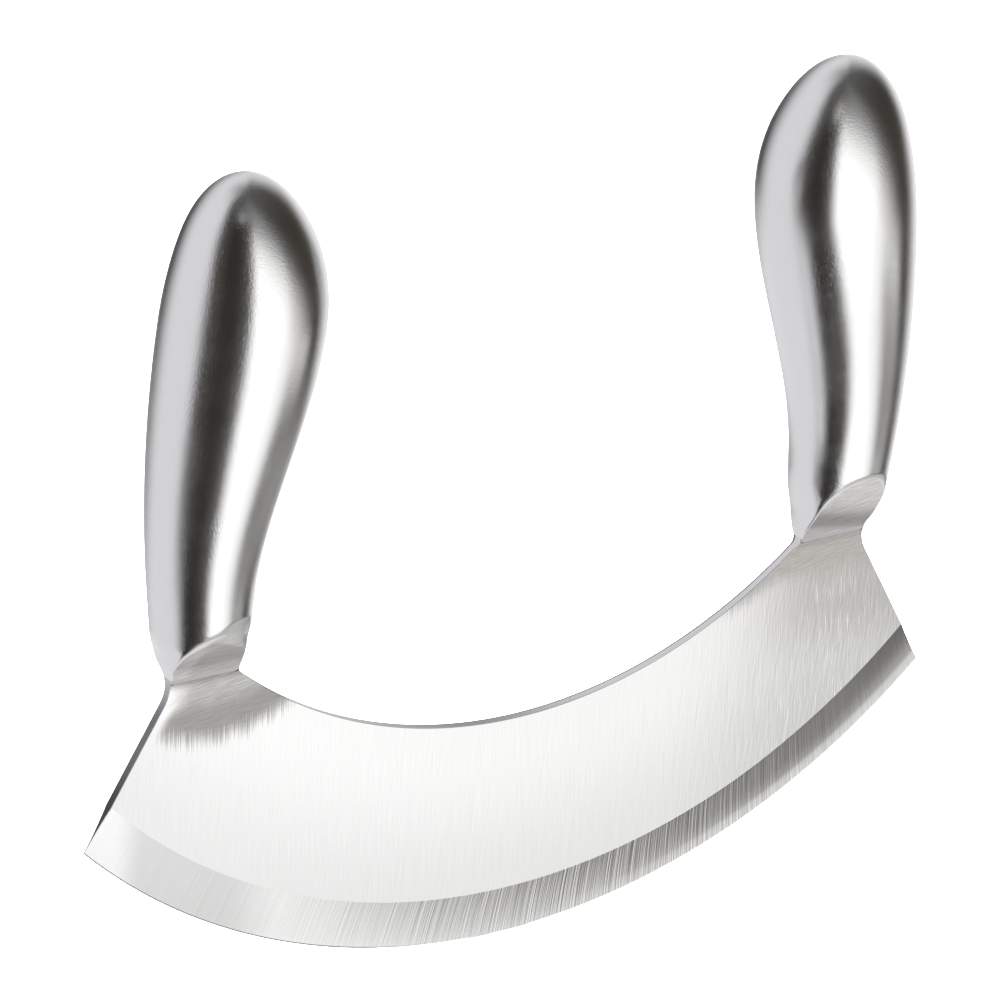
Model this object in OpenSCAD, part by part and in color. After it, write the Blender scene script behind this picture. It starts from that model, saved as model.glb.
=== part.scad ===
// Two-handled rocking chopper: one curved plate blade carried by two hollow steel handles.
// The chord of the blade lies along X, the plate in the plane Y = 0, the handles point up (+Z).
// The origin is the lowest point of the cutting edge.

/* [Blade] */
// Straight distance from tip to tip
chord = 200; // [190:1:220]
// Radius of the rocking cutting edge
edge_radius = 146.5; // [138:0.5:160]
// Radius of the hollow upper edge, the spine
spine_radius = 104; // [97:1:120]
// Depth of the blade at its middle, from edge to spine
blade_depth = 47.7; // [42:0.1:52]
// Thickness of the plate
blade_t = 2; // [1.5:0.1:3]
// Width of the ground bevel on each side of the edge
bevel_w = 10.2; // [6:0.2:14]
// Width of the blunt flat left at the very edge
edge_t = 0.25; // [0.15:0.05:0.6]
// Lean of the straight end faces, from upright
end_lean = 30; // [27:0.5:33]

/* [Neck] */
// Distance from each tip of the blade in to the middle of its neck
neck_inset = 25.2; // [23:0.2:28]
// Width of the neck at its waist, in the plane of the blade
neck_w = 15.6; // [14:0.2:17]
// Radius of the notch where the neck meets the spine
notch_r = 2; // [1:0.25:3]
// Radius of the hollow on the outer side of the waist
outer_hollow_r = 11; // [8:0.5:20]
// Radius of the hollow on the inner side of the waist
inner_hollow_r = 25; // [16:1:40]
// Slope of the scoops that thin the handle down to the plate, from upright
scoop_slope = 28; // [26:0.5:34]
// Radius that blends each scoop into the face of the blade
scoop_r = 8; // [7:0.5:16]
// Distance below the waist at which the scoop's slope aims at the plate
scoop_drop = 1; // [0.75:0.25:3]

/* [Bolster] */
// Height of the bolster's top above the waist
bolster_h = 17.5; // [17:0.5:22]
// Taper of the bolster, the lean of its sides from its own middle line
taper = 4.5; // [3:0.1:6]
// Height of the bolster's legs above the face of the blade where they end on it
leg_t = 0.3; // [0.2:0.05:0.6]
// Depth of the seats in the faces of the plate that locate the legs
seat_depth = 0.2; // [0.1:0.05:0.4]
// Width of the tang that rises through the bolster
tang_w = 8; // [6:0.5:9]
// Height at which the tang starts, above the waist
tang_rise = 3.5; // [3:0.25:5]
// Length of tang that stands proud inside the hollow handle
tang_proud = 3; // [1:0.5:8]
// Gap at each narrow side of the tang in its slot
tang_gap = 0.1; // [0.05:0.05:0.3]

/* [Handle] */
// Diameter where the handle shells meet the bolster
foot_d = 21; // [19.6:0.2:22]
// Widest diameter of the grip
grip_d = 32.4; // [28:0.2:36]
// Height of the widest section above the waist
grip_h = 71.6; // [66:0.2:84]
// Height of the domed end above the widest section
dome_h = 31.4; // [24:0.2:38]
// Sheet thickness of the pressed handle shells
wall = 1; // [0.8:0.1:1.6]
// Outward lean of the handle at its foot
flare = 4.7; // [2:0.1:6]
// How far the upper handle sweeps back toward the middle
sweep = 12.7; // [8:0.1:15]
// Height above the waist at which the sweep starts
sweep_from = 13.4; // [6:0.2:17]
// Height above the waist at which the sweep ends
sweep_to = 90.6; // [80:0.2:100]

/* [Quality] */
// Sides of a full turn of the handle shells
handle_sides = 48; // [32:8:56]
// Sections along the grip and again along the dome
handle_rows = 12; // [8:1:14]

/* [Hidden] */
$fn = 96;
// How far a cut reaches past the surface that it cuts
over = 1;
// Small height over which a slope is measured
step = 0.01;
// Flats that make up the blend at the foot of a scoop
blend_steps = 12;
half_chord = chord / 2;
tip_z = edge_radius - sqrt(edge_radius * edge_radius - half_chord * half_chord);
spine_mid_z = blade_depth + spine_radius;
neck_x = half_chord - neck_inset;
neck_in = neck_x - neck_w / 2;
neck_out = neck_x + neck_w / 2;
// Centre of the notch, which touches both the spine and the inner side of the neck
notch_x = neck_in - notch_r;
notch_reach = spine_radius - notch_r;
waist_z = spine_mid_z - sqrt(notch_reach * notch_reach - notch_x * notch_x);
// The shoulder is where the end face reaches the outer side of the neck
shoulder_z = tip_z + (half_chord - neck_out) / tan(end_lean);
outer_hollow_z = (shoulder_z + waist_z) / 2;
// The scoop: its slope, its blend and the heights where they meet the plate
scoop_z = waist_z - scoop_drop;
blend_run = scoop_r * tan(scoop_slope / 2);
leg_z = scoop_z - blend_run + sqrt(2 * scoop_r * leg_t - leg_t * leg_t);
joint_z = waist_z + bolster_h;
tang_z = waist_z + tang_rise;
tang_top = joint_z + tang_proud;
seat_t = blade_t - 2 * seat_depth;
foot_r = foot_d / 2;
grip_r = grip_d / 2;
grip_z = waist_z + grip_h;
top_z = grip_z + dome_h;
// The bolster leans as the handle's middle line does where the shells begin
bolster_lean = mid_lean(joint_z);
// A leaning cone cut level is wider on its outer side, so its axis stands in by this much
lean_shift = foot_r * tan(bolster_lean) * tan(taper);

// Even ease from 0 to 1
function ease(s) =
    let (q = min(max(s, 0), 1))
    q * q * (3 - 2 * q);

// Middle line of the handle
function mid_x(z) =
    let (h = z - waist_z)
    neck_x + h * tan(flare) - sweep * ease((h - sweep_from) / (sweep_to - sweep_from));

// Lean of that line from upright, outward as it rises
function mid_lean(z) = atan((mid_x(z + step) - mid_x(z - step)) / (2 * step));

// Radius of the grip between the bolster and its widest section
function grip_radius(z) =
    let (
        rise = grip_z - joint_z,
        s = (z - joint_z) / rise
    )
    foot_r + (grip_r - foot_r) * ease(s) + tan(taper) * rise * s * (1 - s) * (1 - s);

// Lean of the grip's side from upright, outward as it rises
function grip_lean(z) = atan((grip_radius(z + step) - grip_radius(z - step)) / (2 * step));

// The handle's sections as [radius, height, lean of the side] rows, from the bolster up
sections = [
    for (i = [0 : handle_rows - 1])
        let (z = joint_z + (grip_z - joint_z) * i / handle_rows)
        [grip_radius(z), z, grip_lean(z)],
    for (i = [0 : handle_rows - 1])
        let (a = 90 * i / handle_rows)
        [grip_r * cos(a), grip_z + dome_h * sin(a), -atan2(grip_r * sin(a), dome_h * cos(a))]
];

// The same sections moved in by the thickness of the sheet, level with the outside at the foot
inner_sections = [
    for (i = [0 : len(sections) - 1])
        let (s = sections[i])
        [s[0] - wall * cos(s[2]), i == 0 ? s[1] : s[1] + wall * sin(s[2]), s[2]]
];

// Points of half a turn round each section, front side, closed by a point at the top
function half_turns(rows, top) =
    let (half = handle_sides / 2)
    concat(
        [
            for (s = rows)
                for (j = [0 : half])
                    let (a = 180 + 180 * j / half)
                    [mid_x(s[1]) + s[0] * cos(a), j % half == 0 ? 0 : s[0] * sin(a), s[1]]
        ],
        [[mid_x(top), 0, top]]
    );

// Thickens a drawing of the XZ plane evenly about the plane Y = 0
module plate(t) {
    rotate([90, 0, 0])
    translate([0, 0, -t / 2])
    linear_extrude(height = t)
    children();
}

// Disc in the plane of the blade with the two bevels turned on its rim
module edge_disc() {
    translate([0, 0, edge_radius])
    rotate([90, 0, 0])
    rotate_extrude($fn = 256)
    polygon([
        [0, -blade_t / 2],
        [edge_radius - bevel_w, -blade_t / 2],
        [edge_radius, -edge_t / 2],
        [edge_radius, edge_t / 2],
        [edge_radius - bevel_w, blade_t / 2],
        [0, blade_t / 2]
    ]);
}

// Outline of the blade between its end faces and below the shoulders
module blade_field() {
    low_x = half_chord + (tip_z + over) * tan(end_lean);
    difference() {
        polygon([
            [-low_x, -over],
            [low_x, -over],
            [neck_out, shoulder_z],
            [neck_in, waist_z],
            [-neck_in, waist_z],
            [-neck_out, shoulder_z]
        ]);
        translate([0, spine_mid_z])
        circle(r = spine_radius, $fn = 256);
    }
}

// Outline of the right neck from below the spine up to a given height
module neck_field(top) {
    low = scoop_z - blend_run - bevel_w;
    difference() {
        translate([neck_in - inner_hollow_r, low])
        square([neck_w + inner_hollow_r + outer_hollow_r, top - low]);
        translate([neck_out + outer_hollow_r, outer_hollow_z])
        circle(r = outer_hollow_r);
        translate([neck_out, low - over])
        square([outer_hollow_r + over, outer_hollow_z - low + over]);
        translate([neck_in - inner_hollow_r, waist_z])
        circle(r = inner_hollow_r);
        translate([neck_in - inner_hollow_r - over, low - over])
        square([inner_hollow_r + over, waist_z - low + over]);
    }
}

// Rounded corner between the spine and the inner side of the right neck. Its circle is a hair
// larger than it should be, so that it crosses both sides instead of only touching them.
module notch_fill() {
    touch = spine_radius / notch_reach;
    difference() {
        polygon([
            [notch_x, waist_z],
            [notch_x * touch, spine_mid_z - (spine_mid_z - waist_z) * touch],
            [neck_in + over, scoop_z],
            [neck_in + over, waist_z]
        ]);
        translate([notch_x, waist_z])
        circle(r = notch_r + 2 * step);
    }
}

// Neck and tang of the plate on the right side
module neck_and_tang() {
    plate(blade_t) {
        neck_field(tang_z);
        notch_fill();
        translate([neck_x - tang_w / 2, tang_z - over])
        square([tang_w, tang_top - tang_z + over]);
    }
}

// Room of the bolster's legs and of its slot, in front of the plate and behind it, on the right side
module seats() {
    for (side = [0, 1])
        mirror([0, side, 0])
        translate([neck_in, seat_t / 2, leg_z])
        cube([neck_w + outer_hollow_r, blade_t, tang_top - leg_z + over]);
}

// The cone that the bolster is turned from, leaning outward, on the right side
module bolster_cone() {
    below = joint_z - leg_z + 2 * over;
    above = 2 * over + foot_r * tan(bolster_lean);
    translate([mid_x(joint_z) - lean_shift, 0, joint_z])
    rotate([0, bolster_lean, 0])
    translate([0, 0, -below])
    cylinder(
        h = below + above,
        r1 = foot_r - below * tan(taper),
        r2 = foot_r + above * tan(taper)
    );
}

// Room that the scoop takes in front of the plate, drawn as distance from Y = 0 and height
module scoop_profile() {
    face = blade_t / 2;
    blend_z = scoop_z - blend_run;
    reach = 2 * foot_r / sin(scoop_slope);
    polygon(concat(
        [[face, blend_z - over]],
        [
            for (i = [0 : blend_steps])
                let (a = scoop_slope * i / blend_steps)
                [face + scoop_r * (1 - cos(a)), blend_z + scoop_r * sin(a)]
        ],
        [
            [face + reach * sin(scoop_slope), scoop_z + reach * cos(scoop_slope)],
            [face + reach, blend_z - over]
        ]
    ));
}

// Both scoops, front and back, across the right neck
module scoops() {
    for (side = [0, 1])
        mirror([0, side, 0])
        translate([neck_x - 2 * foot_r, 0, 0])
        rotate([90, 0, 90])
        linear_extrude(height = 4 * foot_r)
        scoop_profile();
}

// Solid neck piece of the right handle, slotted for the plate and its tang
module bolster() {
    slot_w = tang_w + 2 * tang_gap;
    difference() {
        intersection() {
            bolster_cone();
            plate(4 * foot_r)
            intersection() {
                neck_field(joint_z);
                translate([neck_x - 2 * foot_r, leg_z])
                square([4 * foot_r, joint_z - leg_z]);
            }
        }
        scoops();
        translate([neck_x - 2 * foot_r, -seat_t / 2, leg_z - over])
        cube([4 * foot_r, seat_t, tang_z - leg_z + over]);
        translate([neck_x - slot_w / 2, -seat_t / 2, leg_z])
        cube([slot_w, seat_t, joint_z - leg_z + over]);
    }
}

// Front half of the right handle, pressed from sheet
module handle_half() {
    half = handle_sides / 2;
    turn = half + 1;
    rows = len(sections);
    inside = rows * turn + 1;
    out_top = inside - 1;
    in_top = 2 * inside - 1;
    points = concat(
        half_turns(sections, top_z),
        half_turns(inner_sections, top_z - wall)
    );
    skin = [
        for (i = [0 : rows - 2])
            for (j = [0 : half - 1])
                let (p = i * turn + j)
                [p, p + turn, p + turn + 1, p + 1]
    ];
    lining = [for (f = skin) [f[3] + inside, f[2] + inside, f[1] + inside, f[0] + inside]];
    last = (rows - 1) * turn;
    crown = [for (j = [0 : half - 1]) [last + j, out_top, last + j + 1]];
    crown_lining = [for (j = [0 : half - 1]) [last + j + 1 + inside, in_top, last + j + inside]];
    foot = [for (j = [0 : half - 1]) [j, j + 1, j + 1 + inside, j + inside]];
    inner_seam = [
        for (i = [0 : rows - 2])
            let (p = i * turn)
            [p, p + inside, p + turn + inside, p + turn]
    ];
    outer_seam = [
        for (i = [0 : rows - 2])
            let (p = i * turn + half)
            [p, p + turn, p + turn + inside, p + inside]
    ];
    seam_tops = [
        [last, last + inside, in_top, out_top],
        [last + half, out_top, in_top, last + half + inside]
    ];
    polyhedron(
        points = points,
        faces = concat(skin, lining, crown, crown_lining, foot, inner_seam, outer_seam, seam_tops)
    );
}

module blade() {
    color("gainsboro")
    difference() {
        union() {
            intersection() {
                edge_disc();
                plate(2 * blade_t)
                blade_field();
            }
            neck_and_tang();
            mirror([1, 0, 0])
            neck_and_tang();
        }
        seats();
        mirror([1, 0, 0])
        seats();
    }
}

module left_bolster() {
    color("lightgray")
    mirror([1, 0, 0])
    bolster();
}

module right_bolster() {
    color("lightgray")
    bolster();
}

module left_handle_front_shell() {
    color("silver")
    mirror([1, 0, 0])
    handle_half();
}

module left_handle_back_shell() {
    color("silver")
    mirror([1, 0, 0])
    mirror([0, 1, 0])
    handle_half();
}

module right_handle_front_shell() {
    color("silver")
    handle_half();
}

module right_handle_back_shell() {
    color("silver")
    mirror([0, 1, 0])
    handle_half();
}

blade();
left_bolster();
right_bolster();
left_handle_front_shell();
left_handle_back_shell();
right_handle_front_shell();
right_handle_back_shell();
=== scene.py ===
# A two-handled rocking chopper in satin steel: a curved plate blade between two hollow handles.
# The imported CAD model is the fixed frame. Each of its pieces is shown by a finer skin, built here
# in millimetres until a mesh is made. The sizes are the part's, but for the scoops, which are a
# little steeper and differ between the two necks. The tang and its slot are left out.

import math

import bpy
import numpy as np
from mathutils import Matrix, Vector


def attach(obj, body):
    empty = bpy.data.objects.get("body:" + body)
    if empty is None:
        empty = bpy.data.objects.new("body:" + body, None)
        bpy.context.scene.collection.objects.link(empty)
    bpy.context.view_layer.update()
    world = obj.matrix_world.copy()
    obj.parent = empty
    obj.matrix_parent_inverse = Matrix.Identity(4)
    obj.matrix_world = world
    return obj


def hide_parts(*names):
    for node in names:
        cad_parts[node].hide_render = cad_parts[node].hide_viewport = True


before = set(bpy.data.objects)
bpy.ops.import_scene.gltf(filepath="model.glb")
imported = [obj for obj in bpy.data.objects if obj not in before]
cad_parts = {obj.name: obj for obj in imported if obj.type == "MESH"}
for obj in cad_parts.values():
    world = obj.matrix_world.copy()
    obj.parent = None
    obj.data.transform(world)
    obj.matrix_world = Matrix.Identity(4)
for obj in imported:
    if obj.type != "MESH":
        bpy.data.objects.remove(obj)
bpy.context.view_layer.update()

MM = 0.001

# Sizes of the part
HALF_CHORD = 100.0
EDGE_R = 146.5
SPINE_R = 104.0
DEPTH = 47.7
PLATE = 2.0
BEVEL_W = 10.2
EDGE_T = 0.25
# The bevel is hollow ground: steepest where it leaves the face
HOLLOW = 0.75
END_LEAN = math.radians(30)
NECK_X = 74.8
NECK_W = 15.6
NOTCH_R = 2.0
OUTER_HOLLOW_R = 11.0
INNER_HOLLOW_R = 25.0
SCOOP_SLOPE = math.tan(math.radians(29))
SCOOP_DROP = 0.5
# Above this height the scoop curves outward, by this much times the square of the way up
STEEPEN_Z = 79.5
STEEPEN = 0.009
# Length of the bend where the scoop leaves the plate, and of the one where a steeper scoop begins
SCOOP_RUN = 5.0
STEEPER_RUN = 4.0
BOLSTER_H = 17.5
TAPER = math.tan(math.radians(4.5))
FOOT_R = 10.5
GRIP_R = 16.2
GRIP_H = 71.6
DOME_H = 31.4
WALL = 1.0
FLARE = math.tan(math.radians(4.7))
SWEEP = 12.7
SWEEP_FROM = 13.4
SWEEP_TO = 90.6

# Heights and places that follow from them
FACE = PLATE / 2
TIP_Z = EDGE_R - math.sqrt(EDGE_R**2 - HALF_CHORD**2)
SPINE_MID_Z = DEPTH + SPINE_R
NECK_IN = NECK_X - NECK_W / 2
NECK_OUT = NECK_X + NECK_W / 2
NOTCH_X = NECK_IN - NOTCH_R
WAIST_Z = SPINE_MID_Z - math.sqrt((SPINE_R - NOTCH_R) ** 2 - NOTCH_X**2)
SHOULDER_Z = TIP_Z + (HALF_CHORD - NECK_OUT) / math.tan(END_LEAN)
OUTER_HOLLOW_Z = (SHOULDER_Z + WAIST_Z) / 2
JOINT_Z = WAIST_Z + BOLSTER_H
# Where the scoop's slope aims at the plate
SCOOP_Z = WAIST_Z - SCOOP_DROP
GRIP_Z = WAIST_Z + GRIP_H
# The blade's skin gives way to the bolster's just above the waist
SPLIT_Z = WAIST_Z + 0.1

# Softness of the ground edges: of the plate, where a scoop cuts the round of the neck, and
# where the sides of the neck run out into that round
PLATE_SOFT = 0.15
CREASE_SOFT = 0.45
FLANK_SOFT = 3.2


def smooth(s):
    """Even ease from 0 to 1."""
    q = np.clip(s, 0.0, 1.0)
    return q * q * (3 - 2 * q)


def smooth_sum(s):
    """The area under smooth() from 0 to s."""
    q = np.clip(s, 0.0, 1.0)
    return q**3 - q**4 / 2 + np.maximum(s - 1, 0.0)


def soft_max(a, b, k):
    """The greater of two fields, with the crease between them rounded over a width k."""
    h = np.maximum(k - np.abs(a - b), 0.0)
    return np.maximum(a, b) + h * h / (4 * k)


def mid_x(z):
    """The right handle's middle line."""
    h = z - WAIST_Z
    return NECK_X + h * FLARE - SWEEP * smooth((h - SWEEP_FROM) / (SWEEP_TO - SWEEP_FROM))


def slope_of(f, z, step=0.01):
    """How fast a function of height changes."""
    return (f(z + step) - f(z - step)) / (2 * step)


def grip_radius(z):
    """Radius of the grip between the bolster and its widest section."""
    rise = GRIP_Z - JOINT_Z
    s = (z - JOINT_Z) / rise
    return FOOT_R + (GRIP_R - FOOT_R) * smooth(s) + TAPER * rise * s * (1 - s) ** 2


BOLSTER_LEAN = slope_of(mid_x, JOINT_Z)


def outline_depth(x, z):
    """How far a point of the blade's plane lies inside the plate's outline, edge side left out."""
    x = np.abs(x)
    end = -((x - HALF_CHORD) * math.cos(END_LEAN) + (z - TIP_Z) * math.sin(END_LEAN))
    hollow = np.where(
        z > OUTER_HOLLOW_Z,
        np.hypot(x - NECK_OUT - OUTER_HOLLOW_R, z - OUTER_HOLLOW_Z) - OUTER_HOLLOW_R,
        NECK_OUT - x,
    )
    outer = soft_max(end, hollow, 1.2)
    spine = np.hypot(x, z - SPINE_MID_Z) - SPINE_R
    notch_dx = x - NOTCH_X
    notch_dz = z - WAIST_Z
    notch = np.hypot(notch_dx, notch_dz) - NOTCH_R
    side = np.hypot(x - NECK_IN + INNER_HOLLOW_R, notch_dz) - INNER_HOLLOW_R
    turn = np.arctan2(notch_dz, notch_dx)
    touch = -math.atan2(SPINE_MID_Z - WAIST_Z, NOTCH_X)
    inner = np.where(notch_dz > 0, side, np.where(turn > touch, notch, spine))
    inner = np.where((notch_dx < 0) & (notch_dz <= 0), spine, inner)
    return np.minimum(outer, inner)


def half_thickness(z, steeper=0.0):
    """Half the thickness that the scoops leave, from the plate's own up into the neck."""
    start = SCOOP_Z - SCOOP_RUN / 2
    straight = SCOOP_SLOPE * SCOOP_RUN * smooth_sum((z - start) / SCOOP_RUN)
    straight = straight + steeper * STEEPER_RUN * smooth_sum((z - SPLIT_Z - 0.5) / STEEPER_RUN)
    return FACE + straight + STEEPEN * np.maximum(z - STEEPEN_Z, 0.0) ** 2


class Skin:
    """Grids of points with their normals, welded into one closed mesh."""

    def __init__(self):
        self.points = []
        self.normals = []
        self.faces = []
        self.marks = []
        self.count = 0

    def grid(self, points, normals, flip=False, marks=None):
        """Adds a grid. The marks are: on a scoop, on the bevel, on a narrow side or a crest."""
        rows, cols = points.shape[:2]
        index = np.arange(rows * cols).reshape(rows, cols) + self.count
        quads = np.stack(
            [index[:-1, :-1], index[:-1, 1:], index[1:, 1:], index[1:, :-1]], -1
        ).reshape(-1, 4)
        if flip:
            quads = quads[:, ::-1]
        self.faces.append(quads)
        self.points.append(points.reshape(-1, 3))
        length = np.linalg.norm(normals, axis=-1, keepdims=True)
        self.normals.append((normals / np.maximum(length, 1e-12)).reshape(-1, 3))
        if marks is None:
            marks = np.zeros((rows, cols, 3))
        self.marks.append(marks.reshape(-1, 3))
        self.count += rows * cols

    def build(self, name, mirror=False, back=False):
        """Makes the object, mirrored to the left or to the back if asked."""
        points = np.concatenate(self.points)
        normals = np.concatenate(self.normals)
        marks = np.concatenate(self.marks)
        quads = np.concatenate(self.faces)
        flip = False
        for on, axis in ((mirror, 0), (back, 1)):
            if on:
                points = points * np.where(np.arange(3) == axis, -1.0, 1.0)
                normals = normals * np.where(np.arange(3) == axis, -1.0, 1.0)
                flip = not flip
        if flip:
            quads = quads[:, ::-1]
        keys = np.round(points * 2e4).astype(np.int64)
        _, first, weld = np.unique(keys, axis=0, return_index=True, return_inverse=True)
        weld = weld.reshape(-1)
        faces = []
        corner_normals = []
        for quad in quads.tolist():
            face = []
            corners = []
            for corner in quad:
                vertex = weld[corner]
                if vertex not in face:
                    face.append(vertex)
                    corners.append(corner)
            if len(face) > 2:
                faces.append(face)
                corner_normals.extend(corners)
        mesh = bpy.data.meshes.new(name)
        mesh.from_pydata((points[first] * MM).tolist(), [], faces)
        mesh.polygons.foreach_set("use_smooth", [True] * len(mesh.polygons))
        for i, label in enumerate(("scoop", "bevel", "rim")):
            attribute = mesh.attributes.new(label, "FLOAT", "CORNER")
            attribute.data.foreach_set("value", marks[corner_normals, i].astype(np.float32))
        mesh.update()
        mesh.normals_split_custom_set(normals[corner_normals].tolist())
        piece = bpy.data.objects.new(name, mesh)
        bpy.context.scene.collection.objects.link(piece)
        return piece


def turn_grid(radii, heights, angles, d_radii, d_heights):
    """Level circles round the handle's middle line, with the normals of the surface they sweep."""
    lean = slope_of(mid_x, heights)
    c = np.cos(angles)[None, :]
    s = np.sin(angles)[None, :]
    r = radii[:, None]
    dr = d_radii[:, None]
    dz = d_heights[:, None]
    points = np.stack(
        [mid_x(heights)[:, None] + r * c, r * s, heights[:, None] + 0 * c], -1
    )
    normals = np.stack([c * dz, s * dz, -(lean[:, None] * c * dz + dr)], -1)
    return points, normals


def handle_shell():
    """Front half of the right handle: a pressed sheet with its outside, lining, seam and foot."""
    rows = 150
    grip = np.linspace(JOINT_Z, GRIP_Z, rows, endpoint=False)
    turn = np.radians(90) * np.linspace(0, 1, 90)
    d_grip = slope_of(grip_radius, grip)
    radii = np.concatenate([grip_radius(grip), GRIP_R * np.cos(turn)])
    heights = np.concatenate([grip, GRIP_Z + DOME_H * np.sin(turn)])
    d_radii = np.concatenate([d_grip, -GRIP_R * np.sin(turn)])
    d_heights = np.concatenate([np.ones(rows), DOME_H * np.cos(turn)])
    angles = math.pi + math.pi * np.linspace(0, 1, 121)
    scale = np.hypot(d_radii, d_heights)
    in_radii = np.maximum(radii - WALL * d_heights / scale, 0.0)
    in_heights = heights + WALL * d_radii / scale
    in_heights[0] = heights[0]
    radii[-1] = 0.0
    out_points, out_normals = turn_grid(radii, heights, angles, d_radii, d_heights)
    in_points, in_normals = turn_grid(in_radii, in_heights, angles, d_radii, d_heights)
    for points in (out_points, in_points):
        points[:, 0, 1] = 0.0
        points[:, -1, 1] = 0.0
    skin = Skin()
    skin.grid(out_points, out_normals)
    skin.grid(in_points, -in_normals, flip=True)
    for column, flip in ((0, False), (-1, True)):
        seam = np.stack([out_points[:, column], in_points[:, column]], 1)
        skin.grid(seam, np.zeros_like(seam) + (0, 1, 0), flip=not flip)
    foot = np.stack([out_points[0], in_points[0]], 1)
    skin.grid(foot, np.zeros_like(foot) + (0, 0, -1))
    return skin


def bolster_field(p, melt, steeper):
    """Negative inside the right bolster, zero on its skin. The crease is rounded off by melt mm inward."""
    x, y, z = p[..., 0], p[..., 1], p[..., 2]
    centre = mid_x(JOINT_Z) + (z - JOINT_Z) * BOLSTER_LEAN
    cone = np.hypot(x - centre, y) - (FOOT_R + (z - JOINT_Z) * TAPER)
    scoop = (np.abs(y) - half_thickness(z, steeper)) * 0.9
    side = -outline_depth(x, z)
    flank = smooth((JOINT_Z - z) / 3) * smooth((z - SPLIT_Z) / 6)
    body = soft_max(cone, side, 0.05 + FLANK_SOFT * flank)
    blend = PLATE_SOFT + (CREASE_SOFT - PLATE_SOFT) * smooth((z - SPLIT_Z) / 6)
    blend = blend + 0.75 * smooth((z - SPLIT_Z - 5) / 5) * smooth((JOINT_Z - z) / 4)
    wear_and_painted_highlight = melt * smooth((79 - x) / 8) * smooth((z - SPLIT_Z - 4) / 6) * smooth((JOINT_Z - z) / 4)
    blend = blend + wear_and_painted_highlight
    return soft_max(body, scoop, blend), scoop - body


def field_normals(points, melt, steeper, step=0.002):
    """Direction in which the bolster's field grows fastest."""
    gradient = np.zeros_like(points)
    for axis in range(3):
        shift = np.zeros(3)
        shift[axis] = step
        ahead = bolster_field(points + shift, melt, steeper)[0]
        behind = bolster_field(points - shift, melt, steeper)[0]
        gradient[..., axis] = (ahead - behind) / (2 * step)
    return gradient


def bolster_skin(melt, steeper):
    """The right neck piece, from the waist to where the shells begin."""
    heights = np.linspace(SPLIT_Z, JOINT_Z, 130)
    t = np.linspace(0, 2 * math.pi, 481)
    centre = mid_x(JOINT_Z) + (heights - JOINT_Z) * BOLSTER_LEAN
    radius = FOOT_R + (heights - JOINT_Z) * TAPER
    flat = np.minimum(radius, half_thickness(heights, steeper) * 1.02)
    aim_x = radius[:, None] * np.cos(t)[None, :]
    aim_y = flat[:, None] * np.sin(t)[None, :]
    length = np.hypot(aim_x, aim_y)
    aim_x, aim_y = aim_x / length, aim_y / length
    near = np.zeros_like(aim_x)
    far = np.full_like(aim_x, 16.0)
    z = np.broadcast_to(heights[:, None], aim_x.shape)
    for _ in range(36):
        middle = (near + far) / 2
        p = np.stack([centre[:, None] + middle * aim_x, middle * aim_y, z], -1)
        inside = bolster_field(p, melt, steeper)[0] < 0
        near = np.where(inside, middle, near)
        far = np.where(inside, far, middle)
    points = np.stack([centre[:, None] + near * aim_x, near * aim_y, z], -1)
    points[-1, :, 0] = centre[-1] + radius[-1] * np.cos(t)
    points[-1, :, 1] = radius[-1] * np.sin(t)
    points[:, -1] = points[:, 0]
    normals = field_normals(points, melt, steeper)
    marks = np.zeros(points.shape)
    beyond = bolster_field(points, melt, steeper)[1]
    inner = smooth((79 - points[..., 0]) / 8) * melt / 3
    marks[..., 0] = smooth(beyond / (0.3 + 2.2 * inner) + 0.5)
    # The third mark follows the crease; the neck's material paints a highlight line along it
    marks[..., 2] = smooth(1.5 - np.abs(beyond - 0.12) / 0.2) * (1 - smooth(inner * 2.5))
    marks[..., 2] *= 1 - smooth((points[..., 2] - 85) / 4)
    skin = Skin()
    skin.grid(points, normals, marks=marks)
    # Below the split the skin dives into the plate's neck
    ring = points[0]
    tuck = [ring]
    for drop, shrink in ((0.06, 0.02), (0.6, 0.12), (1.0, 0.4)):
        lower = ring - (0, 0, drop)
        lower[:, :2] -= shrink * normals[0, :, :2]
        tuck.append(lower)
    tuck = np.stack(tuck[::-1])
    skin.grid(tuck, np.broadcast_to(normals[0], tuck.shape).copy())
    for level, rows in ((1, points[-1]), (-1, tuck[0])):
        hub = np.broadcast_to(rows[:-1].mean(0), rows.shape)
        cap = np.stack([rows, hub])
        skin.grid(cap, np.zeros_like(cap) + (0, 0, level), flip=level < 0)
    return skin


def side_x(z):
    """Where the plate's outer side lies at a height, below the split."""
    near = np.full_like(z, 70.0)
    far = np.full_like(z, 106.0)
    for _ in range(40):
        middle = (near + far) / 2
        inside = outline_depth(middle, z) > 0
        near = np.where(inside, middle, near)
        far = np.where(inside, far, middle)
    return near


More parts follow.
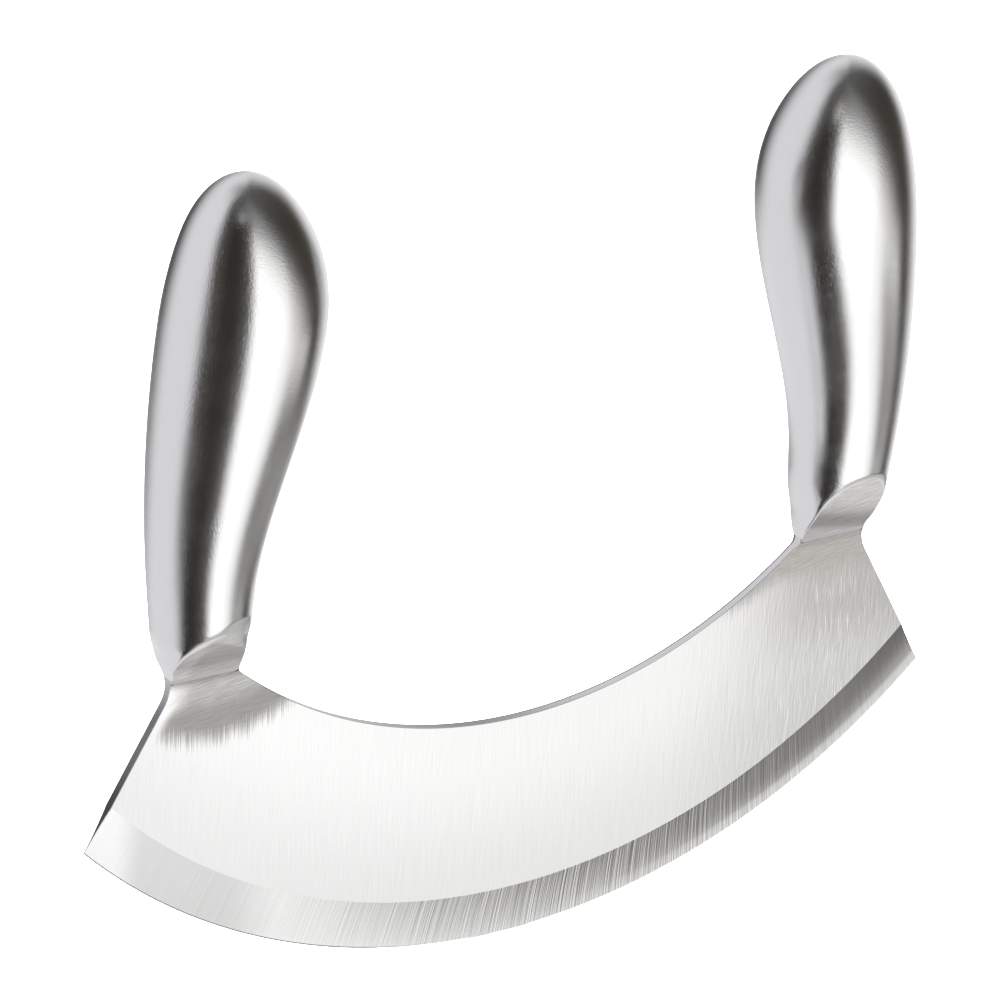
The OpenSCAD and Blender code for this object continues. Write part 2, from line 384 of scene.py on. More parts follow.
def blade_top():
    """Points along the top of the plate from its middle to the right end, and their run."""
    touch = math.atan2(NOTCH_X, SPINE_MID_Z - WAIST_Z)
    spine = touch * np.concatenate([np.linspace(0, 0.86, 60), np.linspace(0.865, 1, 30)])
    points = [np.stack([SPINE_R * np.sin(spine), SPINE_MID_Z - SPINE_R * np.cos(spine)], -1)]
    turn = np.linspace(touch - math.pi / 2, 0, 14)[1:]
    points.append(np.stack([NOTCH_X + NOTCH_R * np.cos(turn), WAIST_Z + NOTCH_R * np.sin(turn)], -1))
    inner = INNER_HOLLOW_R - math.sqrt(INNER_HOLLOW_R**2 - (SPLIT_Z - WAIST_Z) ** 2)
    outer = float(side_x(np.array([SPLIT_Z]))[0])
    steps = PLATE_SOFT * np.array([0, 0.02, 0.08, 0.18, 0.32, 0.5, 0.75, 1.0])
    start = NECK_IN - inner
    line = np.concatenate([start + steps, np.linspace(start, outer, 46)[1:-1], outer - steps[::-1]])
    points.append(np.stack([line, np.full_like(line, SPLIT_Z)], -1))
    points = np.concatenate(points)
    run = np.concatenate([[0], np.cumsum(np.hypot(*np.diff(points, axis=0).T))])
    return points, run


def blade_columns():
    """The plate's right half as a grid in its own plane, rows from the edge to the top."""
    top, run = blade_top()
    share = run / run[-1]
    tip_turn = math.asin(HALF_CHORD / EDGE_R)
    turn = tip_turn * share
    edge = np.stack([EDGE_R * np.sin(turn), EDGE_R * (1 - np.cos(turn))], -1)
    t = np.linspace(0, 1, 801)
    side_z = TIP_Z + (SPLIT_Z - TIP_Z) * t
    side = np.stack([side_x(side_z), side_z], -1)
    side[0] = edge[-1]
    side[-1] = top[-1]
    bulge = side - (side[0] + t[:, None] * (side[-1] - side[0]))
    hold = smooth(1 - (1 - share) * run[-1] / 24)
    lines = edge[:, None] + t[None, :, None] * (top - edge)[:, None]
    lines = lines + hold[:, None, None] * bulge[None]
    depth = EDGE_R - np.hypot(lines[..., 0], lines[..., 1] - EDGE_R)
    low = [0, 0.12, 0.5, 1.5, 3, 4.5, 6, 7.5, 9, BEVEL_W - 0.35, BEVEL_W - 0.08]
    low += [BEVEL_W + 0.08, BEVEL_W + 0.35]
    high = PLATE_SOFT * np.array([1.6, 1.25, 1.0, 0.75, 0.5, 0.32, 0.18, 0.08, 0.02, 0])
    columns = []
    for i in range(len(share)):
        at_low = np.interp(low, depth[i], t)
        length = np.hypot(*(lines[i, -1] - lines[i, 0]))
        at_high = 1 - high / length
        start = at_low[-1] + 0.012
        between = np.linspace(start, at_high[0] - 0.004, 70)
        rows = np.concatenate([at_low, between, at_high])
        columns.append(
            np.stack([np.interp(rows, t, lines[i, :, 0]), np.interp(rows, t, lines[i, :, 1])], -1)
        )
    return np.stack(columns, 1)


def face_height(x, z):
    """Distance of the plate's face from its middle plane, rounded off at the outline."""
    edge_depth = EDGE_R - np.hypot(x, z - EDGE_R)
    w = np.clip(1 - edge_depth / BEVEL_W, 0.0, 1.0)
    height = half_thickness(z) - (FACE - EDGE_T / 2) * ((1 + HOLLOW) * w - HOLLOW * w * w)
    soft = np.minimum(PLATE_SOFT, 0.6 * height)
    inset = np.clip(outline_depth(x, z), 0.0, None)
    drop = np.maximum(np.sqrt(soft) - np.sqrt(inset), 0.0) ** 2
    return height - drop


def blade_skin():
    """The plate with its two bevels and rounded rims, up to the split in each neck."""
    right = blade_columns()
    left = right[:, :0:-1] * (-1, 1)
    plane = np.concatenate([left, right], 1)
    x, z = plane[..., 0], plane[..., 1]
    edge_depth = EDGE_R - np.hypot(x, z - EDGE_R)
    inset = np.clip(outline_depth(x, z), 0.0, None)
    y = face_height(x, z)
    # Slopes of the face: of the scoop with height, of the bevel away from the edge's centre
    w = np.clip(1 - edge_depth / BEVEL_W, 0.0, 1.0)
    lost = (FACE - EDGE_T / 2) / BEVEL_W * (1 + HOLLOW - 2 * HOLLOW * w)
    row = np.arange(plane.shape[0])[:, None] + 0 * x
    on_bevel = row <= 10
    step = 0.01
    rise = (half_thickness(z + step) - half_thickness(z - step)) / (2 * step)
    from_centre = np.stack([x, z - EDGE_R], -1)
    from_centre /= np.linalg.norm(from_centre, axis=-1, keepdims=True)
    slope = np.where(on_bevel[..., None], -lost[..., None] * from_centre, 0.0)
    slope[..., 1] += rise
    inward = np.stack(
        [
            (outline_depth(x + step, z) - outline_depth(x - step, z)) / (2 * step),
            (outline_depth(x, z + step) - outline_depth(x, z - step)) / (2 * step),
        ],
        -1,
    )
    soft = np.minimum(PLATE_SOFT, 0.6 * (y + 0.01))
    steep = np.sqrt(soft / np.maximum(inset, 1e-7)) - 1
    steep = np.where(inset < soft, steep, 0.0)
    slope = slope + steep[..., None] * inward
    normals = np.stack([-slope[..., 0], -np.ones_like(x), -slope[..., 1]], -1)
    marks = np.zeros(x.shape + (3,))
    marks[..., 1] = on_bevel
    front = np.stack([x, -y, z], -1)
    back = np.stack([x, y, z], -1)
    skin = Skin()
    skin.grid(front, normals, marks=marks)
    skin.grid(back, normals * (1, -1, 1), flip=True, marks=marks)
    rim = np.zeros((plane.shape[0], 3)) + (0, 0, 1)
    out_left = np.stack([-inward[:, 0, 0], 0 * rim[:, 0], -inward[:, 0, 1]], -1)
    out_right = np.stack([-inward[:, -1, 0], 0 * rim[:, 0], -inward[:, -1, 1]], -1)
    out_top = np.stack([-inward[-1, :, 0], 0 * inward[-1, :, 0], -inward[-1, :, 1]], -1)
    out_low = np.stack([from_centre[0, :, 0], 0 * from_centre[0, :, 0], from_centre[0, :, 1]], -1)
    for a, b, out, flip in (
        (front[:, 0], back[:, 0], out_left, False),
        (front[:, -1], back[:, -1], out_right, True),
        (front[-1], back[-1], out_top, False),
        (front[0], back[0], out_low, True),
    ):
        strip = np.stack([a, b])
        edge_marks = np.zeros(strip.shape)
        edge_marks[..., 2] = 1
        skin.grid(strip, np.stack([out, out]), flip=flip, marks=edge_marks)
    return skin


class Nodes:
    """Short names for building a node tree."""

    def __init__(self, tree):
        self.tree = tree

    def add(self, kind, **settings):
        made = self.tree.nodes.new(kind)
        for key, value in settings.items():
            setattr(made, key, value)
        return made

    def feed(self, socket, value):
        if isinstance(value, bpy.types.NodeSocket):
            self.tree.links.new(value, socket)
        else:
            socket.default_value = value

    def calc(self, operation, *inputs):
        made = self.add("ShaderNodeMath", operation=operation)
        for socket, value in zip(made.inputs, inputs):
            self.feed(socket, value)
        return made.outputs[0]

    def ease(self, value, low, high, start=0.0, end=1.0):
        """Soft step from start at low to end at high."""
        made = self.add("ShaderNodeMapRange", interpolation_type="SMOOTHSTEP")
        for key, given in (
            ("Value", value),
            ("From Min", low),
            ("From Max", high),
            ("To Min", start),
            ("To Max", end),
        ):
            self.feed(made.inputs[key], given)
        return made.outputs[0]

    def mix(self, factor, a, b):
        made = self.add("ShaderNodeMix", data_type="RGBA")
        colours = [s for s in made.inputs if s.type == "RGBA"]
        self.feed(made.inputs["Factor"], factor)
        for socket, value in zip(colours, (a, b)):
            self.feed(socket, (*value, 1) if isinstance(value, tuple) else value)
        return [s for s in made.outputs if s.type == "RGBA"][0]

    def scaled(self, colour, level):
        made = self.add("ShaderNodeVectorMath", operation="SCALE")
        self.feed(made.inputs[0], colour)
        self.feed(made.inputs["Scale"], level)
        return made.outputs[0]

    def vector(self, x, y, z):
        made = self.add("ShaderNodeCombineXYZ")
        for socket, value in zip(made.inputs, (x, y, z)):
            self.feed(socket, value)
        return made.outputs[0]

    def noise(self, vector, detail=2.0, roughness=0.5):
        made = self.add("ShaderNodeTexNoise")
        self.feed(made.inputs["Vector"], vector)
        made.inputs["Scale"].default_value = 1.0
        made.inputs["Detail"].default_value = detail
        made.inputs["Roughness"].default_value = roughness
        return made.outputs[0]

    def place(self):
        """Place on the part along X, Y and Z, in millimetres."""
        found = self.add("ShaderNodeTexCoord").outputs["Object"]
        scaled = self.add("ShaderNodeVectorMath", operation="SCALE")
        self.feed(scaled.inputs[0], found)
        scaled.inputs["Scale"].default_value = 1 / MM
        apart = self.add("ShaderNodeSeparateXYZ")
        self.feed(apart.inputs[0], scaled.outputs[0])
        return list(apart.outputs)

    def mark(self, name):
        made = self.add("ShaderNodeAttribute", attribute_name=name)
        return made.outputs["Fac"]

    def streaks(self, across, along, width, length, seed=0.0, detail=2.0):
        """Fine lines: noise drawn out in one direction. Sizes in millimetres."""
        return self.noise(
            self.vector(
                self.calc("DIVIDE", across, width), seed, self.calc("DIVIDE", along, length)
            ),
            detail,
        )


def steel(name, pieces, colour):
    """A bare metal shader on these pieces, with its nodes ready to be added to."""
    material = bpy.data.materials.new(name)
    material.use_nodes = True
    nodes = Nodes(material.node_tree)
    shader = material.node_tree.nodes["Principled BSDF"]
    shader.inputs["Base Color"].default_value = (*colour, 1)
    shader.inputs["Metallic"].default_value = 1
    for piece in pieces:
        piece.data.materials.append(material)
    return nodes, shader


def relief(nodes, shader, height):
    """Height in micrometres, given to the shader as bump."""
    bump = nodes.add("ShaderNodeBump")
    bump.inputs["Strength"].default_value = 1.0
    bump.inputs["Distance"].default_value = 1e-6
    nodes.feed(bump.inputs["Height"], height)
    nodes.feed(shader.inputs["Normal"], bump.outputs[0])


def satin(nodes, x, y, z):
    """The even blasted grain of the grips, with faint level strokes. Height in micrometres."""
    grain = nodes.noise(nodes.vector(*(nodes.calc("MULTIPLY", v, 2.7) for v in (x, y, z))), 3.0, 0.6)
    pits = nodes.noise(nodes.vector(*(nodes.calc("MULTIPLY", v, 4.2) for v in (x, y, z))), 1.0)
    strokes = nodes.noise(
        nodes.vector(
            nodes.calc("MULTIPLY", x, 0.28),
            nodes.calc("MULTIPLY", y, 0.28),
            nodes.calc("MULTIPLY", z, 3.0),
        ),
        2.0,
    )
    height = nodes.calc("MULTIPLY", grain, 29.0)
    height = nodes.calc("ADD", height, nodes.calc("MULTIPLY", strokes, 8.0))
    return nodes.calc("SUBTRACT", height, nodes.ease(pits, 0.6, 0.8, 0.0, 9.0))


def grip_finish(pieces):
    nodes, shader = steel("grip_steel", pieces, (0.66, 0.66, 0.66))
    x, y, z = nodes.place()
    relief(nodes, shader, satin(nodes, x, y, z))
    cloud = nodes.noise(
        nodes.vector(*(nodes.calc("MULTIPLY", axis, 0.09) for axis in (x, y, z))), 3.0
    )
    nodes.feed(shader.inputs["Roughness"], nodes.ease(cloud, 0.3, 0.7, 0.17, 0.22))


def neck_finish(pieces):
    nodes, shader = steel("neck_steel", pieces, (0.66, 0.66, 0.66))
    x, y, z = nodes.place()
    scoop = nodes.mark("scoop")
    blended = nodes.add("ShaderNodeMix", data_type="FLOAT")
    nodes.feed(blended.inputs["Factor"], scoop)
    nodes.feed(blended.inputs["A"], satin(nodes, x, y, z))
    lines, tone = scoop_lines(nodes, x, z)
    nodes.feed(blended.inputs["B"], lines)
    relief(nodes, shader, blended.outputs[0])
    dull = nodes.mix(tone, (0.57, 0.568, 0.562), (0.74, 0.74, 0.735))
    # Height on each scoop, following its slant
    turned = nodes.calc("SUBTRACT", nodes.calc("ABSOLUTE", x), 74.5)
    level = nodes.calc("ADD", z, nodes.calc("MULTIPLY", turned, 0.22))
    on_right = nodes.calc("GREATER_THAN", x, 0)
    # Painted light and shade on the scoops: brighter higher up toward the crease, a painted dark band low
    # on the right scoop, and a painted highlight on the outer side of the left neck
    painted_dark_band = nodes.calc("MULTIPLY", nodes.ease(level, 73.5, 76), nodes.ease(level, 80.5, 76.8))
    painted_dark_band = nodes.calc("MULTIPLY", painted_dark_band, nodes.calc("MULTIPLY", on_right, 0.38))
    shade = nodes.ease(level, 78, 84, 0.97, 1.26)
    shade = nodes.calc("ADD", shade, nodes.calc("MULTIPLY", on_right, 0.03))
    shade = nodes.calc("SUBTRACT", shade, painted_dark_band)
    shade = nodes.calc("ADD", shade, nodes.ease(x, -77.5, -80.5, 0.0, 0.25))
    colour = nodes.mix(scoop, (0.66, 0.66, 0.66), nodes.scaled(dull, shade))
    # Painted highlight: a near-white line along the crease
    line = nodes.mark("rim")
    nodes.feed(shader.inputs["Base Color"], nodes.mix(line, colour, (0.98, 0.98, 0.98)))
    nodes.feed(shader.inputs["Roughness"], nodes.ease(scoop, 0, 1, 0.18, 0.26))


def scoop_lines(nodes, x, z):
    """Level strokes of the wheel that ground the scoops: height in micrometres, and tone."""
    bent = nodes.calc("SUBTRACT", z, nodes.calc("MULTIPLY", x, 0.14))
    fine = nodes.streaks(bent, x, 0.2, 3.5, seed=4.0, detail=3.0)
    coarse = nodes.streaks(bent, x, 0.7, 9.0, 7.0)
    height = nodes.calc(
        "ADD", nodes.calc("MULTIPLY", fine, 24.0), nodes.calc("MULTIPLY", coarse, 18.0)
    )
    return height, nodes.ease(nodes.streaks(bent, x, 0.26, 4.5, 9.0, 3.0), 0.36, 0.66)


def plate_finish(pieces):
    nodes, shader = steel("plate_steel", pieces, (0.66, 0.66, 0.66))
    x, y, z = nodes.place()
    bevel = nodes.mark("bevel")
    rim = nodes.mark("rim")
    right = nodes.ease(x, 42, 86)
    from_edge = nodes.calc(
        "SUBTRACT",
        EDGE_R,
        nodes.calc(
            "SQRT",
            nodes.calc(
                "ADD",
                nodes.calc("MULTIPLY", x, x),
                nodes.calc("POWER", nodes.calc("SUBTRACT", EDGE_R, z), 2.0),
            ),
        ),
    )
    # Upright strokes on the face, in two crossing sets
    lean = nodes.calc("ADD", x, nodes.calc("MULTIPLY", z, 0.05))
    other = nodes.calc("SUBTRACT", x, nodes.calc("MULTIPLY", z, 0.12))
    strokes = nodes.calc(
        "ADD", nodes.streaks(lean, z, 0.3, 7.0, 1.0, 3.0), nodes.streaks(other, z, 0.7, 12.0, 2.0)
    )
    face = nodes.calc("MULTIPLY", strokes, nodes.ease(x, 30, 80, 6.0, 36.0))
    # Where the ground foot of each neck gives way to the face, with a ragged edge
    from_left = nodes.calc("ADD", x, 71)
    left_edge = nodes.calc(
        "ADD", nodes.calc("MULTIPLY", nodes.calc("MULTIPLY", from_left, from_left), 0.017), 59.2
    )
    short = nodes.calc("MINIMUM", nodes.calc("MAXIMUM", nodes.calc("SUBTRACT", 62, x), 0), 9)
    right_edge = nodes.calc("SUBTRACT", 65.4, nodes.calc("MULTIPLY", short, 0.45))
    on_left = nodes.calc("LESS_THAN", x, 0)
    edge = nodes.calc(
        "ADD",
        nodes.calc("MULTIPLY", left_edge, on_left),
        nodes.calc("MULTIPLY", right_edge, nodes.calc("SUBTRACT", 1, on_left)),
    )
    ragged = nodes.calc("SUBTRACT", nodes.streaks(lean, z, 0.2, 16.0, 11.0, 3.0), 0.5)
    into = nodes.calc("SUBTRACT", z, edge)
    foot = nodes.ease(nodes.calc("ADD", into, nodes.calc("MULTIPLY", ragged, 10.0)), -2.8, 2.2)
    foot = nodes.calc("MULTIPLY", foot, nodes.calc("SUBTRACT", 1, rim))
    # Painted light: a lighter band across the right foot just below the waist
    waist = nodes.calc("MULTIPLY", nodes.ease(z, 70.9, 72.1), nodes.ease(z, 72.9, 72.4))
    waist = nodes.calc("MULTIPLY", waist, nodes.ease(x, -10, 10, 0.0, 0.4))
    # Painted shade: a dark patch along the lower edge of the left foot
    painted_dark_patch = nodes.calc("MULTIPLY", foot, nodes.ease(into, 10, 4.5))
    painted_dark_patch = nodes.calc("MULTIPLY", painted_dark_patch, nodes.calc("MULTIPLY", on_left, 0.6))
    # Painted highlight: a light patch on the foot at the outer side of the left neck
    wear_and_painted_highlight = nodes.calc("MULTIPLY", nodes.ease(x, -76.5, -84), nodes.ease(z, 64, 69.5))
    wear_and_painted_highlight = nodes.calc("MULTIPLY", wear_and_painted_highlight, nodes.ease(z, 73.4, 70))
    wear_and_painted_highlight = nodes.calc("MULTIPLY", wear_and_painted_highlight, nodes.calc("SUBTRACT", 1, rim))
    # The foot stops short of the left end of the plate
    to_end = nodes.calc(
        "ADD",
        nodes.calc("MULTIPLY", nodes.calc("ADD", x, HALF_CHORD), math.cos(END_LEAN)),
        nodes.calc("MULTIPLY", nodes.calc("SUBTRACT", TIP_Z, z), math.sin(END_LEAN)),
    )
    kept = nodes.calc("MAXIMUM", nodes.ease(to_end, 0.8, 3.4), nodes.ease(z, 66, 69))
    foot = nodes.calc("MULTIPLY", foot, nodes.calc("MAXIMUM", kept, nodes.ease(x, -10, 0)))
    painted_dark_patch = nodes.calc("MULTIPLY", painted_dark_patch, kept)
    # Strokes of the wheel across the bevel, all drawn toward one side
    aside = nodes.calc("SUBTRACT", x, 25.6)
    below = nodes.calc("SUBTRACT", 244, z)
    fan = nodes.calc("MULTIPLY", nodes.calc("ARCTAN2", aside, below), 215)
    wheel = nodes.calc(
        "ADD",
        nodes.calc("MULTIPLY", nodes.streaks(fan, z, 0.22, 34.0, 5.0, 2.0), 40.0),
        nodes.calc("MULTIPLY", nodes.streaks(fan, z, 0.8, 50.0, 6.0, 1.0), 52.0),
    )
    keen = nodes.calc("MULTIPLY", nodes.ease(x, -60, 22, 0.05, 1.0), nodes.ease(x, 84, 46, 0.38, 1.0))
    wheel = nodes.calc("MULTIPLY", wheel, keen)
    lines, tone = scoop_lines(nodes, x, z)
    height = face
    for mark, given in ((foot, lines), (bevel, wheel)):
        joined = nodes.add("ShaderNodeMix", data_type="FLOAT")
        nodes.feed(joined.inputs["Factor"], mark)
        nodes.feed(joined.inputs["A"], height)
        nodes.feed(joined.inputs["B"], given)
        height = joined.outputs[0]
    relief(nodes, shader, height)
    # Tone: single bright scratches, the dull foot with its painted dark patch and other painted light and
    # shade, lines on the bevel, rims, and painted shade on face, bevel and rims
    crowd = nodes.noise(nodes.vector(nodes.calc("MULTIPLY", x, 0.07), 0.0, nodes.calc("MULTIPLY", z, 0.1)))
    crowd = nodes.calc("MULTIPLY", nodes.ease(crowd, 0.35, 0.62, 0.15, 1.0), right)
    cuts = nodes.streaks(nodes.calc("ADD", x, nodes.calc("MULTIPLY", z, 0.09)), z, 0.14, 8.0, 3.0, 2.0)
    crossing = nodes.streaks(
        nodes.calc("SUBTRACT", x, nodes.calc("MULTIPLY", z, 0.16)), z, 0.15, 9.0, 8.0, 2.0
    )
    cuts = nodes.calc("MAXIMUM", nodes.ease(cuts, 0.58, 0.72), nodes.ease(crossing, 0.6, 0.72))
    cuts = nodes.calc("MULTIPLY", cuts, crowd)
    brushed = nodes.ease(nodes.streaks(lean, z, 0.26, 12.0, 13.0, 3.0), 0.25, 0.75)
    # The plain face is darker toward the edge; painted shade darkens it toward the right, and brown in the
    # right corner
    plain = nodes.mix(nodes.ease(from_edge, 9, 42), (0.665, 0.665, 0.665), (0.775, 0.775, 0.775))
    level = nodes.calc("SUBTRACT", nodes.ease(brushed, 0, 1, 0.985, 1.015), nodes.ease(x, 33, 76, 0, 0.19))
    corner = nodes.calc("MULTIPLY", nodes.ease(x, 50, 76), nodes.ease(z, 42, 60))
    level = nodes.calc("SUBTRACT", level, nodes.calc("MULTIPLY", corner, 0.22))
    uneven = nodes.calc("MULTIPLY", right, 0.09)
    uneven = nodes.calc("MULTIPLY", nodes.calc("SUBTRACT", brushed, 0.5), uneven)
    plain = nodes.scaled(plain, nodes.calc("ADD", level, uneven))
    plain = nodes.mix(nodes.calc("MULTIPLY", corner, 0.35), plain, (0.46, 0.435, 0.405))
    colour = nodes.mix(cuts, plain, (0.9, 0.9, 0.89))
    # The foot's dull tone is partly its ground finish and partly painted shade; warmer on the right,
    # darker lower down on the right, with the painted light band at the waist
    dull = nodes.mix(tone, (0.38, 0.375, 0.364), (0.5, 0.497, 0.487))
    dull = nodes.mix(nodes.ease(x, 0, 10, 0, 0.4), dull, (0.44, 0.418, 0.388))
    low = nodes.calc("MULTIPLY", nodes.ease(z, 68, 63, 0.0, 0.08), nodes.ease(x, 0, 10))
    dull = nodes.scaled(dull, nodes.calc("SUBTRACT", nodes.calc("ADD", 1, waist), low))
    colour = nodes.mix(foot, colour, dull)
    colour = nodes.mix(painted_dark_patch, colour, (0.22, 0.215, 0.205))
    colour = nodes.mix(wear_and_painted_highlight, colour, (0.9, 0.9, 0.9))
    ground = nodes.ease(nodes.streaks(fan, z, 0.17, 40.0, 12.0, 2.0), 0.36, 0.68)
    soft = nodes.mix(ground, (0.68, 0.68, 0.678), (0.71, 0.71, 0.708))
    sharp = nodes.mix(ground, (0.46, 0.457, 0.448), (0.78, 0.78, 0.772))
    soft = nodes.mix(keen, soft, sharp)
    # Painted shade on the bevel: darker toward the left tip, and toward the right but for a narrow strip
    # at the edge
    tip = nodes.calc("MULTIPLY", nodes.ease(x, -52, -68), nodes.ease(x, -94, -86))
    strip = nodes.calc("MULTIPLY", nodes.ease(from_edge, 9.5, 4.5), nodes.ease(from_edge, 1.8, 3.0))
    strip = nodes.calc("MULTIPLY", strip, nodes.ease(x, 5, 85, 0.0, 0.32))
    high = nodes.calc("MULTIPLY", nodes.ease(from_edge, 4, 9), nodes.ease(x, 76, 95, 0, 0.3))
    strip = nodes.calc("ADD", strip, high)
    level = nodes.calc("SUBTRACT", 1, nodes.calc("ADD", nodes.calc("MULTIPLY", tip, 0.24), strip))
    colour = nodes.mix(bevel, colour, nodes.scaled(soft, level))
    # The narrow sides, in painted shade: dark on the left and at the ends, and darker along the far edge
    # of the spine
    spine = nodes.mix(nodes.ease(x, -15, 25), (0.26, 0.25, 0.24), (0.6, 0.6, 0.605))
    spine = nodes.mix(nodes.ease(y, 0.4, 0.75), spine, (0.11, 0.105, 0.1))
    colour = nodes.mix(rim, colour, spine)
    end = nodes.calc("MULTIPLY", nodes.ease(nodes.calc("ABSOLUTE", x), 79, 83), rim)
    dark = nodes.mix(nodes.ease(z, 75, 64), (0.5, 0.49, 0.505), (0.165, 0.158, 0.17))
    dark = nodes.mix(nodes.ease(z, 60, 48), dark, (0.06, 0.058, 0.06))
    colour = nodes.mix(end, colour, dark)
    # Painted shade: a dark hairline along the cutting edge, on the left half
    hairline = nodes.calc("MULTIPLY", nodes.ease(from_edge, 0.34, 0.12), nodes.ease(x, -12, -40))
    colour = nodes.mix(hairline, colour, (0.12, 0.12, 0.14))
    nodes.feed(shader.inputs["Base Color"], colour)
    rough = nodes.calc("ADD", nodes.ease(bevel, 0, 1, 0.2, 0.17), nodes.calc("MULTIPLY", foot, 0.06))
    nodes.feed(shader.inputs["Roughness"], rough)


# The camera, set as the photograph's: turn round the part, height, roll, distance and long lens
TURN = math.radians(35.674)
HEIGHT = math.radians(23.903)
ROLL = math.radians(3.865)
SHIFT = (-0.2345, 86.2246, 1961.3)
LENS_PIXELS = 9797.3
FRAME_PIXELS = 1000

right_0 = Vector((math.cos(TURN), -math.sin(TURN), 0))
ahead = Vector(
    (math.sin(TURN) * math.cos(HEIGHT), math.cos(TURN) * math.cos(HEIGHT), -math.sin(HEIGHT))
)
up_0 = right_0.cross(ahead)
right = math.cos(ROLL) * right_0 + math.sin(ROLL) * up_0
up = -math.sin(ROLL) * right_0 + math.cos(ROLL) * up_0
place = (-SHIFT[0] * right + SHIFT[1] * up - SHIFT[2] * ahead) * MM
camera_data = bpy.data.cameras.new("camera")
camera_data.sensor_width = 36
camera_data.lens = 36 * LENS_PIXELS / FRAME_PIXELS
camera_data.clip_start = 0.05
camera_data.clip_end = 50
camera = bpy.data.objects.new("camera", camera_data)
axes = Matrix((right, up, -ahead)).transposed().to_4x4()
camera.matrix_world = Matrix.Translation(place) @ axes
bpy.context.scene.collection.objects.link(camera)
bpy.context.scene.camera = camera

# The pieces
shell = handle_shell()
pieces = {
    "blade": blade_skin().build("blade_steel_plate"),
    "left_bolster": bolster_skin(3.0, 0.2).build("left_neck_piece", mirror=True),
    "right_bolster": bolster_skin(0.0, 0.0).build("right_neck_piece"),
    "left_handle_front_shell": shell.build("left_grip_front_half", mirror=True),
    "left_handle_back_shell": shell.build("left_grip_back_half", mirror=True, back=True),
    "right_handle_front_shell": shell.build("right_grip_front_half"),
    "right_handle_back_shell": shell.build("right_grip_back_half", back=True),
}
for node, piece in pieces.items():
    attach(piece, "root")
    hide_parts(node)

plate_finish([pieces["blade"]])
neck_finish([pieces["left_bolster"], pieces["right_bolster"]])
grip_finish([piece for node, piece in pieces.items() if "shell" in node])

# The floor
floor_mesh = bpy.data.meshes.new("floor")
SIDE = 12.0
floor_mesh.from_pydata(
    [(-SIDE, -SIDE, 0), (SIDE, -SIDE, 0), (SIDE, SIDE, 0), (-SIDE, SIDE, 0)], [], [(0, 1, 2, 3)]
)
floor = bpy.data.objects.new("floor", floor_mesh)
bpy.context.scene.collection.objects.link(floor)
floor_material = bpy.data.materials.new("floor")
floor_material.use_nodes = True
floor_shader = floor_material.node_tree.nodes["Principled BSDF"]
floor_shader.inputs["Base Color"].default_value = (0.9, 0.9, 0.9, 1)
floor_shader.inputs["Roughness"].default_value = 0.9
floor_mesh.materials.append(floor_material)
floor.visible_glossy = False
floor.visible_shadow = False

# The studio: soft panels and dark gaps all round, given by their direction from the part.
# Directions are in degrees: around is 0 toward the camera's place and grows to its right.
world = bpy.data.worlds.new("studio")
bpy.context.scene.world = world
world.use_nodes = True
world.node_tree.nodes.clear()
sky = Nodes(world.node_tree)
split = sky.add("ShaderNodeSeparateXYZ")
sky.feed(split.inputs[0], sky.add("ShaderNodeTexCoord").outputs["Generated"])
dir_x, dir_y, dir_z = split.outputs
to_right = sky.calc(
    "SUBTRACT",
    sky.calc("MULTIPLY", dir_x, math.cos(TURN)),
    sky.calc("MULTIPLY", dir_y, math.sin(TURN)),
)
to_front = sky.calc(
    "ADD",
    sky.calc("MULTIPLY", dir_x, -math.sin(TURN)),
    sky.calc("MULTIPLY", dir_y, -math.cos(TURN)),
)
around = sky.calc("DEGREES", sky.calc("ARCTAN2", to_right, to_front))
height = sky.calc("DEGREES", sky.calc("ARCSINE", dir_z))
behind = sky.calc("ABSOLUTE", around)


def panel(under, level, *edges):
    """Lays a panel of this brightness over what is there. Each edge is (value, from 0 at, to 1 at)."""
    cover = None
    for value, low, high in edges:
        edge = sky.ease(value, low, high)
        cover = edge if cover is None else sky.calc("MULTIPLY", cover, edge)
    return sky.mix(cover, under, level)


light = panel((0.06, 0.052, 0.045), (0.12, 0.118, 0.115), (height, 20, 84))
# Back wall, brighter low on the right
light = panel(light, (0.89, 0.89, 0.9), (behind, 118, 168), (height, 88, 24))
light = panel(light, (1.1, 1.1, 1.1), (around, 120, 158), (height, 20, -3))
# Left wall, up to overhead, with the dim gap behind it
bend = sky.calc("ADD", sky.ease(height, -24, -40, 4, -11), sky.ease(height, 28, 66, 0, 10))
bent_edge = sky.calc("ADD", around, bend)
light = panel(light, (0.985, 0.98, 1.015), (bent_edge, -43, -60), (height, 98, 40))
light = panel(
    light,
    (0.08, 0.075, 0.072),
    (around, -188, -158),
    (around, -106, -150),
    (height, -33, -17),
    (height, 38, -12),
)
# Key panel with its slanted top and the glow above it, and the wall it stands against
slant = sky.calc("ADD", height, sky.calc("MULTIPLY", around, 0.9))
light = panel(light, (0.6, 0.6, 0.6), (around, -20, 50), (around, 100, 35), (slant, 108, 46))
slant = sky.calc("ADD", height, sky.calc("MULTIPLY", around, 0.52))
light = panel(light, (0.98, 0.95, 0.91), (around, -26, -10), (around, 112, 68), (slant, 48, 26))
light = panel(light, (1.7, 1.7, 1.7), (around, -26, -10), (around, 67, 63), (slant, 57, 11))
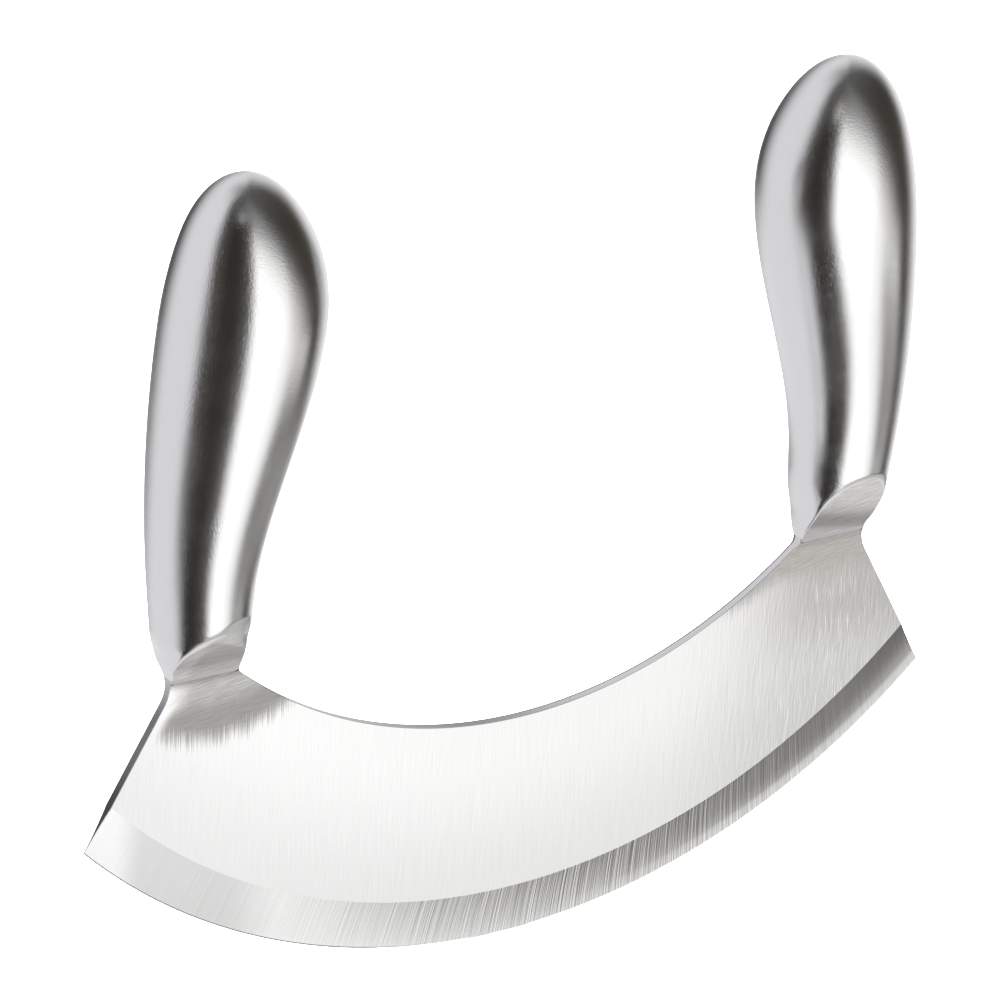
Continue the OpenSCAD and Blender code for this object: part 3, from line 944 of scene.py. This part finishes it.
# Low on the right: the foot of the key panel, the dim table behind it, and the pale table in front
light = panel(light, (1.0, 0.985, 0.96), (around, 60, 66), (around, 112, 98), (height, -18, -23))
light = panel(light, (1.42, 1.42, 1.42), (around, 50, 58), (around, 79, 68), (height, -14, -20))
light = panel(light, (0.24, 0.232, 0.222), (around, 66, 86), (height, -27.8, -30.4))
slant = sky.calc("SUBTRACT", height, sky.calc("MULTIPLY", around, 0.16))
light = panel(light, (0.7, 0.69, 0.685), (slant, -52.5, -59.5))
background = sky.add("ShaderNodeBackground")
sky.feed(background.inputs["Color"], light)
background.inputs["Strength"].default_value = 1.0
output = sky.add("ShaderNodeOutputWorld")
sky.feed(output.inputs["Surface"], background.outputs[0])

# A black card near the part, between the left wall and the key panel, seen in reflections only.
# Its corners are given to the right of the camera's line of sight and up, in metres.
card_mesh = bpy.data.meshes.new("black_card")
card_points = []
CARD_AWAY = 0.5
for aside, level in (
    (-0.35, 0.62),
    (0.038, 0.62),
    (0.038, -0.1),
    (0.16, -0.34),
    (0.42, -0.8),
    (-0.35, -0.8),
):
    card_points.append(
        (
            aside * math.cos(TURN) - CARD_AWAY * math.sin(TURN),
            -aside * math.sin(TURN) - CARD_AWAY * math.cos(TURN),
            level,
        )
    )
card_mesh.from_pydata(card_points, [], [(0, 1, 2, 3, 4, 5)])
card = bpy.data.objects.new("black_card", card_mesh)
bpy.context.scene.collection.objects.link(card)
card_material = bpy.data.materials.new("black_card")
card_material.use_nodes = True
card_shader = card_material.node_tree.nodes["Principled BSDF"]
card_shader.inputs["Base Color"].default_value = (0, 0, 0, 1)
card_shader.inputs["Roughness"].default_value = 1.0
card_shader.inputs["Specular IOR Level"].default_value = 0.0
card_nodes = Nodes(card_material.node_tree)
card_x, card_y, _ = card_nodes.place()
card_aside = card_nodes.calc(
    "SUBTRACT",
    card_nodes.calc("MULTIPLY", card_x, math.cos(TURN)),
    card_nodes.calc("MULTIPLY", card_y, math.sin(TURN)),
)
# The card glows faintly, darker toward its left end: this is the dim light the steel reflects there
darker = card_nodes.ease(card_aside, -70, -140)
card_light = card_nodes.mix(darker, (0.062, 0.054, 0.047), (0.022, 0.019, 0.017))
card_nodes.feed(card_shader.inputs["Emission Color"], card_light)
card_shader.inputs["Emission Strength"].default_value = 1.0
card_mesh.materials.append(card_material)
card.visible_camera = False
card.visible_diffuse = False
card.visible_shadow = False
card.visible_transmission = False

# A broad soft light from above
lamp_data = bpy.data.lights.new("overhead_softbox", "AREA")
lamp_data.shape = "RECTANGLE"
lamp_data.size = 3.6
lamp_data.size_y = 3.6
lamp_data.energy = 300
lamp = bpy.data.objects.new("overhead_softbox", lamp_data)
lamp.location = (-0.2, 0.3, 2.2)
lamp.rotation_euler = (Vector((0, 0, 0.05)) - lamp.location).to_track_quat("-Z", "Y").to_euler()
lamp.visible_glossy = False
bpy.context.scene.collection.objects.link(lamp)

bpy.context.scene.view_settings.view_transform = "Standard"
